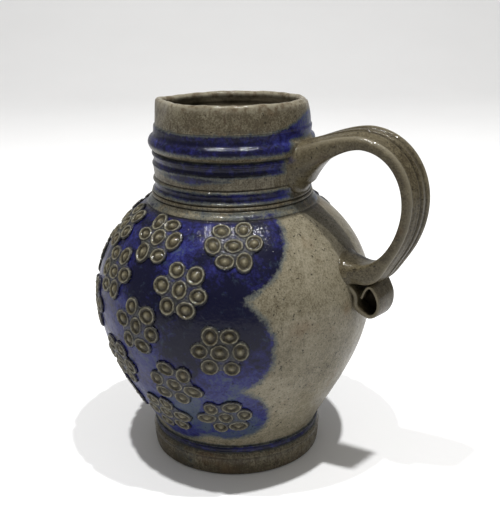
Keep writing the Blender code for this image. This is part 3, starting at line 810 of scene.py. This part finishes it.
def rounded_section(half_width, half_thickness, count, squareness):
    """(across, out) round a flat strip with rounded edges, for arrays of half sizes."""
    angle = np.linspace(0.0, 2 * math.pi, 1441)
    c, s = np.cos(angle), np.sin(angle)
    squareness = np.broadcast_to(squareness, half_width.shape)
    across, out = [], []
    for wide, thick, square in zip(half_width, half_thickness, squareness):
        a = wide * np.sign(c) * np.abs(c) ** square
        o = thick * np.sign(s) * np.abs(s) ** square
        run = np.concatenate([[0.0], np.cumsum(np.hypot(np.diff(a), np.diff(o)))])
        wanted = np.linspace(0.0, run[-1], count, endpoint=False)
        across.append(np.interp(wanted, run, a))
        out.append(np.interp(wanted, run, o))
    return np.array(across), np.array(out)


def reeds(across_share):
    """Rise of the strap's outer face across its width, from -1 to 1, against the reed depth."""
    s = across_share
    rise = 0.45 * bell(s + 0.84, 0.11) + 0.30 * bell(s - 0.86, 0.11) - 0.35 * bell(s + 0.60, 0.14)
    rise = rise - 0.95 * bell(s - 0.04, 0.075) + 0.28 * bell(s - 0.20, 0.10) + 0.26 * bell(
        s + 0.12, 0.10
    )
    return rise - 0.70 * bell(s - 0.58, 0.065)


def swept(path, across, out):
    """Points of sections square to a path in the XZ plane; out is to the left of the path."""
    along = np.gradient(path, axis=0)
    along = along / np.hypot(*along.T)[:, None]
    left = np.column_stack([-along[:, 1], along[:, 0]])
    x = path[:, :1] + left[:, :1] * out
    z = path[:, 1:] + left[:, 1:] * out
    return np.stack([x, across, z], -1)


def tube_faces(rings, around, first=0):
    """Quads along a swept strip, with a fan of triangles over each end's middle point."""
    faces = []
    for ring in range(rings - 1):
        a = first + ring * around
        for i in range(around):
            n = (i + 1) % around
            faces.append((a + i, a + around + i, a + around + n, a + n))
    start, end = first + rings * around, first + rings * around + 1
    last = first + (rings - 1) * around
    for i in range(around):
        n = (i + 1) % around
        faces.append((first + i, first + n, start))
        faces.append((last + n, last + i, end))
    return faces


def closed_strip(sections):
    """Sections flattened to points with the middle points of both ends added."""
    rings, around, _ = sections.shape
    points = sections.reshape(-1, 3)
    return np.vstack([points, sections[0].mean(0), sections[-1].mean(0)]), rings, around


def from_body(points, body):
    """Distance of points off the jug's outer wall, roughly, in metres."""
    x, y, z = points[..., 0], points[..., 1], points[..., 2]
    wall = np.where(z > body.shoulder_level, body.neck_radius + 0.0006, belly_radius(z, body))
    return np.hypot(x, y) - wall


def make_strap(body, handle):
    path = strap_path(body, handle)
    x, z = path.T
    neck_reach, neck_wider, neck_thicker = UPPER_FLARE
    belly_reach, belly_wider, belly_thicker = LOWER_FLARE
    upper = z > rim_level(body) - LOOP_MIDDLE_DROP
    off_neck = np.clip(x - body.neck_radius, 0.0, None)
    neck = np.where(upper, np.exp(-off_neck / neck_reach), 0.0)
    off_belly = np.clip(x - belly_radius(z, body), 0.0, None)
    belly = np.where(z < body.shoulder_level, np.exp(-off_belly / belly_reach), 0.0)
    width = handle.strap_width + neck_wider * neck ** 1.5 + belly_wider * belly
    thickness = handle.strap_thickness + neck_thicker * neck + belly_thicker * belly
    run = np.linspace(0.0, 1.0, len(path))
    width = width * (1 + 0.02 * np.sin(run * 9 + 1))
    across, out = rounded_section(
        width / 2, thickness / 2, 144, 0.27 + 0.62 * np.maximum(neck, belly)
    )
    outer = smoothstep(out / (thickness[:, None] / 2) * 1.4)
    s = across / (width[:, None] / 2)
    plain = ((1 - neck ** 0.8) * (1 - belly))[:, None]
    crown = handle.strap_crown * (1 - s ** 2)
    low = z < body.shoulder_level - 0.0100
    pad_at, pad_spread, pad_thickness = ROLL_PAD
    crown = crown + np.where(low, pad_thickness * bell(x - pad_at, pad_spread), 0.0)[:, None]
    reed = handle.reed_depth * reeds(s + 0.02 * np.sin(run * 11)[:, None]) * plain
    out = out + (crown + reed) * outer + handle.twist * s * plain
    points = swept(path, across, out)
    off = np.clip(from_body(points, body), 0.0, None)
    centre = np.stack([path[:, 0], np.zeros(len(path)), path[:, 1]], -1)[:, None, :]
    outward = points - centre
    reach = np.linalg.norm(outward, axis=-1, keepdims=True)
    fillet = 0.0018 * np.exp(-off / 0.0010)[..., None]
    points = points + outward / np.maximum(reach, 1e-6) * fillet
    azimuth = np.arctan2(points[..., 1], points[..., 0])
    near_wall = neck_depth(azimuth, points[..., 2]) - 1.8 * off / MM
    # painted shade in the two reed grooves and along the far edge
    groove_shade = 0.9 * bell(s - 0.04, 0.08) + 0.9 * bell(s - 0.58, 0.07)
    painted_shade = np.clip(groove_shade + 0.8 * bell(s - 0.985, 0.05), 0, 1) * outer * plain
    # painted highlight along the near ridge and, fainter, the far rib
    ridge_highlight = (bell(s + 0.82, 0.16) + 0.5 * bell(s - 0.86, 0.12)) * outer * plain
    upward = smoothstep(out / (thickness[:, None] / 2) * 0.9 + 0.45)
    on_neck = neck[:, None]
    blue = 16.0 * (on_neck - 0.66) * upward - 2.4
    blue = blue + 4.0 * bell(on_neck - 0.40, 0.14) * bell(s - 0.1, 0.5) * outer
    above = points[..., 2] > body.shoulder_level
    blue = np.where(above, np.maximum(blue, near_wall), BARE_HANDLE)
    return points, {"painted_shade": painted_shade, "crest": ridge_highlight, "cobalt": blue}


def make_tail(body, handle):
    path = roll_path(body, handle)
    run = np.linspace(0.0, 1.0, len(path))
    thickness = lerp(
        handle.tail_thickness, handle.tail_tip_thickness, smoothstep((run - 0.30) / 0.45)
    )
    width = handle.tail_width * (1 + 0.05 * np.sin(run * 8 + 0.5) + 0.03 * np.sin(run * 19))
    across, out = rounded_section(width / 2, thickness / 2, 72, 0.38)
    points = swept(path, across, out)
    wave = 0.25 * MM * np.sin(run * 23)[:, None] * np.sign(across)
    points[..., 1] += wave + 0.3 * MM * np.sin(run * 7)[:, None]
    curled = smoothstep((run - 0.25) / 0.2)[:, None]
    middle = path[run > 0.25].mean(0)
    flare = 1 + 0.14 * curled * points[..., 1] / (handle.tail_width / 2)
    points[..., 0] = middle[0] + (points[..., 0] - middle[0]) * flare
    points[..., 2] = middle[1] + (points[..., 2] - middle[1]) * flare
    # painted highlight along the tail's edges and painted shade on the inner side of the curl
    edge = smoothstep((np.abs(across) / (width[:, None] / 2) - 0.86) / 0.12)
    inner = smoothstep((out / (thickness[:, None] / 2) - 0.2) / 0.5) * curled
    return points, {
        "painted_shade": inner * 0.9 * (1 - edge), "crest": edge * 0.7,
        "cobalt": np.full(across.shape, BARE_HANDLE)
    }


def make_shade_plug(body, handle):
    """The clay plug that closes the roll's bore a little way in, painted dark all over as shade.
    """
    path = roll_path(body, handle)
    run = np.linspace(0.0, 1.0, len(path))
    loop = path[run > 0.25]
    middle = loop.mean(0)
    sections = []
    for share_out, aside in SHADE_PLUG_RINGS:
        ring = middle + (loop - middle) * share_out
        sections.append(np.column_stack([ring[:, 0], np.full(len(ring), aside * MM), ring[:, 1]]))
    points = np.stack(sections)
    shape = points.shape[:2]
    return points, {
        "painted_shade": np.ones(shape), "crest": np.zeros(shape), "cobalt": np.full(shape, BARE_HANDLE)
    }


def pull_handle(body, handle, material):
    points, faces, attributes = [], [], {}
    for sections, masks in (
        make_strap(body, handle), make_tail(body, handle), make_shade_plug(body, handle)
    ):
        part, rings, around = closed_strip(sections)
        faces += tube_faces(rings, around, sum(map(len, points)))
        points.append(part)
        for label, values in masks.items():
            ends = [values[0].mean(), values[-1].mean()]
            attributes.setdefault(label, []).append(np.concatenate([values.ravel(), ends]))
    joined = {label: np.concatenate(parts) for label, parts in attributes.items()}
    joined["strength"] = np.full(len(joined["painted_shade"]), 0.35)
    return new_piece("pulled_handle", np.vstack(points), faces, joined, material)


# --- Glaze -------------------------------------------------------------------
class Bench:
    """Short ways to add shader nodes to one material."""

    def __init__(self, name):
        self.material = bpy.data.materials.new(name)
        self.material.use_nodes = True
        self.tree = self.material.node_tree
        self.shader = self.tree.nodes["Principled BSDF"]
        self.places = self.tree.nodes.new("ShaderNodeTexCoord").outputs["Object"]

    def join(self, value, socket):
        if isinstance(value, bpy.types.NodeSocket):
            self.tree.links.new(value, socket)
        elif hasattr(value, "__len__"):
            colour = socket.type == "RGBA"
            socket.default_value = (*tuple(value)[:3], 1.0) if colour else tuple(value)
        else:
            socket.default_value = value

    def noise(self, size, detail=4.0, roughness=0.55, distortion=0.0, stretch=None):
        """Noise whose features are about this many millimetres across."""
        node = self.tree.nodes.new("ShaderNodeTexNoise")
        places = self.places
        if stretch:
            mapping = self.tree.nodes.new("ShaderNodeMapping")
            mapping.inputs["Scale"].default_value = stretch
            self.join(places, mapping.inputs["Vector"])
            places = mapping.outputs["Vector"]
        self.join(places, node.inputs["Vector"])
        node.inputs["Scale"].default_value = 1000.0 / size
        node.inputs["Detail"].default_value = detail
        node.inputs["Roughness"].default_value = roughness
        node.inputs["Distortion"].default_value = distortion
        return node.outputs["Fac"]

    def mask(self, name, amount=None):
        """One of the mesh's named attributes, times an amount if there is one."""
        node = self.tree.nodes.new("ShaderNodeAttribute")
        node.attribute_name = name
        value = node.outputs["Fac"]
        return value if amount is None else self.times(value, amount)

    def sum(self, operation, a, b):
        node = self.tree.nodes.new("ShaderNodeMath")
        node.operation = operation
        self.join(a, node.inputs[0])
        self.join(b, node.inputs[1])
        return node.outputs[0]

    def times(self, a, b):
        return self.sum("MULTIPLY", a, b)

    def plus(self, a, b):
        return self.sum("ADD", a, b)

    def swing(self, noise, middle, amount):
        """How far a noise is from its middle, times an amount."""
        return self.times(self.sum("SUBTRACT", noise, middle), amount)

    def step(self, value, low, high, to_low=0.0, to_high=1.0):
        """A smooth step from one level to another as the value goes from low to high."""
        node = self.tree.nodes.new("ShaderNodeMapRange")
        node.interpolation_type = "SMOOTHSTEP"
        for socket, number in zip(node.inputs[1:5], (low, high, to_low, to_high)):
            self.join(number, socket)
        self.join(value, node.inputs[0])
        return node.outputs[0]

    def mix(self, share_of_b, a, b, blend="MIX"):
        node = self.tree.nodes.new("ShaderNodeMix")
        node.data_type = "RGBA"
        node.blend_type = blend
        self.join(share_of_b, node.inputs[0])
        self.join(a, node.inputs[6])
        self.join(b, node.inputs[7])
        return node.outputs[2]

    def ramp(self, value, *stops):
        node = self.tree.nodes.new("ShaderNodeValToRGB")
        ramp = node.color_ramp
        while len(ramp.elements) < len(stops):
            ramp.elements.new(1.0)
        for element, (place, colour) in zip(ramp.elements, stops):
            element.position = place
            element.color = (*tuple(colour)[:3], 1.0)
        self.join(value, node.inputs["Fac"])
        return node.outputs["Color"]

    def bump(self, height, strength, depth, before=None):
        """A bump this many millimetres deep, on top of an earlier one."""
        node = self.tree.nodes.new("ShaderNodeBump")
        node.inputs["Strength"].default_value = strength
        node.inputs["Distance"].default_value = depth * MM
        self.join(height, node.inputs["Height"])
        if before:
            self.join(before, node.inputs["Normal"])
        return node.outputs["Normal"]


def clay_colour(bench, glaze, darkness=0.0):
    """Mottled grey clay under salt glaze, with burnt specks."""
    broad = bench.noise(26.0, 5.0, 0.6, 0.4)
    fine = bench.noise(3.2, 6.0, 0.65)
    grain = bench.noise(0.8, 3.0, 0.6)
    tone = bench.plus(bench.times(broad, 0.50), bench.times(fine, 0.45))
    tone = bench.plus(tone, bench.swing(grain, 0.40, 0.50))
    tone = bench.sum("SUBTRACT", tone, darkness)
    colour = bench.ramp(
        tone, (0.32, glaze.clay_dark), (0.49, glaze.clay_middle), (0.68, glaze.clay_light)
    )
    streaks = bench.noise(1.1, 3.0, 0.6, 0.0, (1.0, 1.0, 0.20))
    colour = bench.mix(bench.step(streaks, 0.58, 0.72, 0.0, 0.55), colour, glaze.clay_dark)
    specks = bench.noise(1.5, 2.0, 0.5)
    colour = bench.mix(bench.step(specks, 0.64, 0.71, 0.0, 0.85), colour, glaze.iron_and_shade)
    warm = bench.noise(15.0, 3.0, 0.5)
    return bench.mix(bench.step(warm, 0.58, 0.76, 0.0, 0.35), colour, WARM_CLAY)


def cobalt_colour(bench, glaze):
    """The blue from its thin wash to its pools."""
    drift = bench.noise(9.0, 6.0, 0.68, 0.8)
    grain = bench.noise(1.6, 4.0, 0.65)
    strength = bench.mask("strength")
    for wander, amount in ((drift, 1.60), (grain, 0.90)):
        strength = bench.plus(strength, bench.swing(wander, 0.5, amount))
    colour = bench.ramp(
        strength, (0.02, glaze.cobalt_thin), (0.32, glaze.cobalt_bright),
        (0.50, glaze.cobalt_full), (0.74, glaze.cobalt_deep),
    )
    bloom = bench.noise(5.0, 5.0, 0.7, 0.5)
    colour = bench.mix(bench.step(bloom, 0.56, 0.72, 0.0, 0.45), colour, BLOOM_BLUE)
    pits = bench.noise(1.2, 2.0, 0.5)
    return bench.mix(bench.step(pits, 0.62, 0.70, 0.0, 0.85), colour, glaze.cobalt_deep)


def salt_glaze(bench, colour, glaze):
    """Finishes a material with the gloss, coat and dimpling that every glazed piece shares."""
    shader = bench.shader
    bench.join(colour, shader.inputs["Base Color"])
    shader.inputs["Metallic"].default_value = 0.0
    shader.inputs["IOR"].default_value = 1.5
    shader.inputs["Specular IOR Level"].default_value = 0.05
    shader.inputs["Coat Weight"].default_value = 0.30
    shader.inputs["Coat Roughness"].default_value = 0.09
    patches = bench.noise(7.0, 4.0, 0.6)
    roughness = bench.step(patches, 0.30, 0.70, glaze.gloss - 0.10, glaze.gloss + 0.12)
    bench.join(roughness, shader.inputs["Roughness"])
    peel = bench.noise(1.1, 2.0, 0.5)
    normal = bench.bump(peel, glaze.peel, 0.16)
    swell = bench.noise(6.0, 3.0, 0.5)
    normal = bench.bump(swell, 0.45, 0.40, normal)
    pits = bench.noise(1.6, 2.0, 0.5)
    normal = bench.bump(bench.step(pits, 0.66, 0.72, 1.0, 0.0), 0.5, 0.12, normal)
    bench.join(normal, shader.inputs["Normal"])
    ripple = bench.noise(2.3, 3.0, 0.6)
    bench.join(bench.bump(ripple, 0.75, 0.32, normal), shader.inputs["Coat Normal"])
    return bench.material


def glazed_body(glaze):
    bench = Bench("grey_and_cobalt_glaze")
    clay = clay_colour(bench, glaze, bench.mask("shade", 0.14))
    edge = bench.mask("cobalt")
    shade = bench.mask("shade")
    drawn = bench.noise(1.2, 4.0, 0.7, 0.0, (1.0, 1.0, 0.10))
    streaks = bench.times(shade, bench.step(drawn, 0.52, 0.66))
    clay = bench.mix(bench.times(streaks, 0.75), clay, STREAK_BROWN)
    for size, reach in ((13.0, 3.0), (4.2, 4.4), (1.3, 3.8)):
        edge = bench.plus(edge, bench.swing(bench.noise(size, 5.0, 0.62), 0.5, reach))
    fringe = bench.mix(0.35, FRINGE_BLUE, clay)
    colour = bench.mix(bench.step(edge, -2.1, 0.3, 0.0, 0.80), clay, fringe)
    colour = bench.mix(bench.step(edge, -0.3, 1.9), colour, cobalt_colour(bench, glaze))
    # painted shade inside the jug
    inside = bench.ramp(bench.noise(9.0, 5.0, 0.6), *zip((0.3, 0.7), INSIDE_SHADE_TONES))
    colour = bench.mix(bench.mask("inside"), colour, inside)
    # the rim's burnt brown mixed with a pale painted highlight along its edge
    rim = bench.ramp(bench.noise(3.0, 3.0, 0.6), *zip((0.36, 0.56), RIM_BROWN_AND_HIGHLIGHT))
    colour = bench.mix(bench.mask("rim", 0.65), colour, rim)
    # painted shade in the scratched lines
    colour = bench.mix(bench.mask("painted_shade", 0.9), colour, glaze.iron_and_shade)
    return salt_glaze(bench, colour, glaze)


def glazed_handle(glaze):
    bench = Bench("handle_glaze")
    clay = bench.mix(1.0, clay_colour(bench, glaze, 0.10), HANDLE_WASH, "MULTIPLY")
    brush = bench.noise(5.0, 4.0, 0.6)
    edge = bench.plus(bench.mask("cobalt"), bench.swing(brush, 0.5, 6.0))
    colour = bench.mix(bench.step(edge, -1.0, 2.2, 0.0, 0.85), clay, cobalt_colour(bench, glaze))
    # painted highlight on the strap's ridges and the tail's edges
    colour = bench.mix(bench.mask("crest", 0.55), colour, glaze.clay_light)
    # painted shade in the reed grooves, inside the roll and over the plug
    colour = bench.mix(bench.mask("painted_shade", 0.8), colour, glaze.iron_and_shade)
    return salt_glaze(bench, colour, glaze)


def glazed_rosette(glaze):
    bench = Bench("rosette_glaze")
    clay = bench.mix(1.0, clay_colour(bench, glaze, 0.05), ROSETTE_WASH, "MULTIPLY")
    wear = bench.noise(3.4, 4.0, 0.6)
    blue = cobalt_colour(bench, glaze)
    cloudy = bench.step(bench.noise(2.2, 4.0, 0.6), 0.34, 0.60, 0.25, 0.90)
    murk = bench.mix(cloudy, blue, WEB_MURK)
    colour = bench.mix(bench.mask("web", 0.85), blue, murk)
    boss = bench.plus(bench.mask("boss"), bench.swing(wear, 0.52, 1.0))
    colour = bench.mix(bench.step(boss, 0.25, 0.75), colour, clay)
    # painted shade in the moats and round the foot of the rings
    colour = bench.mix(bench.mask("painted_shade", 0.80), colour, glaze.iron_and_shade)
    # painted highlight on the ring crests and the pad's edge, broken up by noise
    crest = bench.times(bench.mask("crest"), bench.step(wear, 0.38, 0.58, 0.15, 0.85))
    colour = bench.mix(crest, colour, CREST_HIGHLIGHT)
    # the dots' own beige, lightened as a painted highlight
    colour = bench.mix(bench.mask("button", 0.75), colour, BUTTON_TONE_AND_HIGHLIGHT)
    return salt_glaze(bench, colour, glaze)


# --- Table, lights and camera ------------------------------------------------
def plain_paper(tone):
    bench = Bench("white_paper")
    cloud = bench.noise(220.0, 3.0, 0.5)
    pale, paler = (tone * 0.985,) * 3, (tone * 1.01,) * 3
    bench.join(bench.ramp(cloud, (0.3, pale), (0.7, paler)), bench.shader.inputs["Base Color"])
    bench.join(0.85, bench.shader.inputs["Roughness"])
    bench.join(0.25, bench.shader.inputs["Specular IOR Level"])
    fibres = bench.noise(1.0, 3.0, 0.6)
    bench.join(bench.bump(fibres, 0.04, 0.05), bench.shader.inputs["Normal"])
    return bench.material


def lay_table(stage, low):
    """A wide sheet of paper under the jug that sweeps up far behind it and behind the camera."""
    behind, before, bend, wall, wide = 1.15, 2.4, 0.80, 0.60, 3.2
    rise = []
    for i in range(1, stage.sweep_steps + 1):
        a = math.pi / 2 * i / stage.sweep_steps
        rise.append((bend * math.sin(a), bend * (1 - math.cos(a))))
    rise.append((bend, bend + wall))
    profile = [(-before - out, up) for out, up in reversed(rise)]
    profile += [(-before, 0.0), (-0.6, 0.0), (0.0, 0.0), (0.5, 0.0), (behind, 0.0)]
    profile += [(behind + out, up) for out, up in rise]
    turn = Matrix.Rotation(VIEW_TURN, 3, "Z")
    points, faces = [], []
    for away, up in profile:
        for across in (-wide, 0.0, wide):
            points.append(tuple(turn @ Vector((across, away, low + up))))
    for row in range(len(profile) - 1):
        a = row * 3
        faces += [(a, a + 1, a + 4, a + 3), (a + 1, a + 2, a + 5, a + 4)]
    return new_piece("paper_sweep", points, faces, {}, plain_paper(stage.table_tone))


def hang_light(name, direction, power):
    data = bpy.data.lights.new(name, "AREA")
    data.shape = "DISK"
    data.size = LIGHT_WIDTH
    data.energy = power
    light = bpy.data.objects.new(name, data)
    towards = Vector(direction).normalized()
    facing = towards.to_track_quat("Z", "Y").to_matrix().to_4x4()
    light.matrix_world = Matrix.Translation(towards * LIGHT_DISTANCE) @ facing
    bpy.context.scene.collection.objects.link(light)


def light_room(stage):
    world = bpy.data.worlds.new("soft_room")
    world.use_nodes = True
    background = world.node_tree.nodes["Background"]
    background.inputs["Color"].default_value = ROOM_TONE
    background.inputs["Strength"].default_value = stage.sky
    bpy.context.scene.world = world
    hang_light("front_light", (-0.090, -0.200, 1.0), stage.front_light)
    hang_light("side_light", (0.222, -0.030, 1.0), stage.side_light)


def set_camera(stage):
    """A camera above the table, looking a little down past the handle."""
    data = bpy.data.cameras.new("camera")
    data.lens = stage.lens
    data.sensor_width = 36.0
    data.clip_start = 0.01
    level = Vector((math.sin(CAMERA_YAW), math.cos(CAMERA_YAW), 0.0))
    ahead = level * math.cos(CAMERA_PITCH) - Vector((0.0, 0.0, math.sin(CAMERA_PITCH)))
    right = Vector((level.y, -level.x, 0.0))
    up = right.cross(ahead)
    right, up = (
        (right - CAMERA_ROLL * up).normalized(), (up + CAMERA_ROLL * right).normalized()
    )
    turn = Matrix.Rotation(VIEW_TURN, 3, "Z")
    axes = Matrix((turn @ right, turn @ up, turn @ -ahead)).transposed().to_4x4()
    place = turn @ Vector(CAMERA_PLACE)
    camera = bpy.data.objects.new("camera", data)
    camera.matrix_world = Matrix.Translation(place) @ axes
    bpy.context.scene.collection.objects.link(camera)
    bpy.context.scene.camera = camera


def plain_view():
    settings = bpy.context.scene.view_settings
    settings.view_transform = "Standard"
    settings.look = "None"
    settings.exposure = 0.0
    settings.gamma = 1.0


# --- Operators ---------------------------------------------------------------
class JUG_OT_throw_body(bpy.types.Operator):
    """Throw the body with its turned foot, ringed neck and pouring lip, and glaze it"""

    bl_idname = "stoneware_jug.throw_body"
    bl_label = "Throw body"

    def execute(self, context):
        scene = context.scene
        piece = throw_body(scene.jug_body, glazed_body(scene.jug_glaze))
        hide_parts("jug_body")
        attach(piece, BODY)
        return {"FINISHED"}


class JUG_OT_pull_handle(bpy.types.Operator):
    """Pull the reeded strap handle and roll up its tail"""

    bl_idname = "stoneware_jug.pull_handle"
    bl_label = "Pull handle"

    def execute(self, context):
        scene = context.scene
        piece = pull_handle(scene.jug_body, scene.jug_handle, glazed_handle(scene.jug_glaze))
        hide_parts("handle")
        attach(piece, BODY)
        return {"FINISHED"}


class JUG_OT_press_rosettes(bpy.types.Operator):
    """Press all the ring-and-dot rosettes onto the belly"""

    bl_idname = "stoneware_jug.press_rosettes"
    bl_label = "Press rosettes"

    def execute(self, context):
        scene = context.scene
        material = glazed_rosette(scene.jug_glaze)
        for place in rosette_places(scene.jug_body):
            piece = press_rosette(place, scene.jug_body, scene.jug_rosette, material)
            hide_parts(f"rosette_{place[0] + 1}_{place[1] + 1}")
            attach(piece, BODY)
        return {"FINISHED"}


class JUG_OT_set_stage(bpy.types.Operator):
    """Lay the pale table, hang the soft lights and set up the camera"""

    bl_idname = "stoneware_jug.set_stage"
    bl_label = "Set stage"

    def execute(self, context):
        stage = context.scene.jug_stage
        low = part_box("jug_body")[0].z
        lay_table(stage, low)
        light_room(stage)
        set_camera(stage)
        plain_view()
        return {"FINISHED"}


class JUG_PT_panel(bpy.types.Panel):
    """Steps that build the jug"""

    bl_idname = "JUG_PT_panel"
    bl_label = "Stoneware jug"
    bl_space_type = "VIEW_3D"
    bl_region_type = "UI"
    bl_category = "Jug"

    def draw(self, context):
        for operator in OPERATORS:
            self.layout.operator(operator.bl_idname)


GROUPS = {
    "jug_body": JUG_PG_body,
    "jug_handle": JUG_PG_handle,
    "jug_rosette": JUG_PG_rosette,
    "jug_glaze": JUG_PG_glaze,
    "jug_stage": JUG_PG_stage,
}
OPERATORS = (JUG_OT_throw_body, JUG_OT_pull_handle, JUG_OT_press_rosettes, JUG_OT_set_stage)


def register():
    for group in GROUPS.values():
        bpy.utils.register_class(group)
    for name, group in GROUPS.items():
        setattr(bpy.types.Scene, name, PointerProperty(type=group))
    for operator in OPERATORS:
        bpy.utils.register_class(operator)
    bpy.utils.register_class(JUG_PT_panel)


def unregister():
    bpy.utils.unregister_class(JUG_PT_panel)
    for operator in reversed(OPERATORS):
        bpy.utils.unregister_class(operator)
    for name in GROUPS:
        delattr(bpy.types.Scene, name)
    for group in reversed(GROUPS.values()):
        bpy.utils.unregister_class(group)


def main():
    register()
    bpy.ops.stoneware_jug.throw_body()
    bpy.ops.stoneware_jug.pull_handle()
    bpy.ops.stoneware_jug.press_rosettes()
    bpy.ops.stoneware_jug.set_stage()


if __name__ == "__main__":
    main()
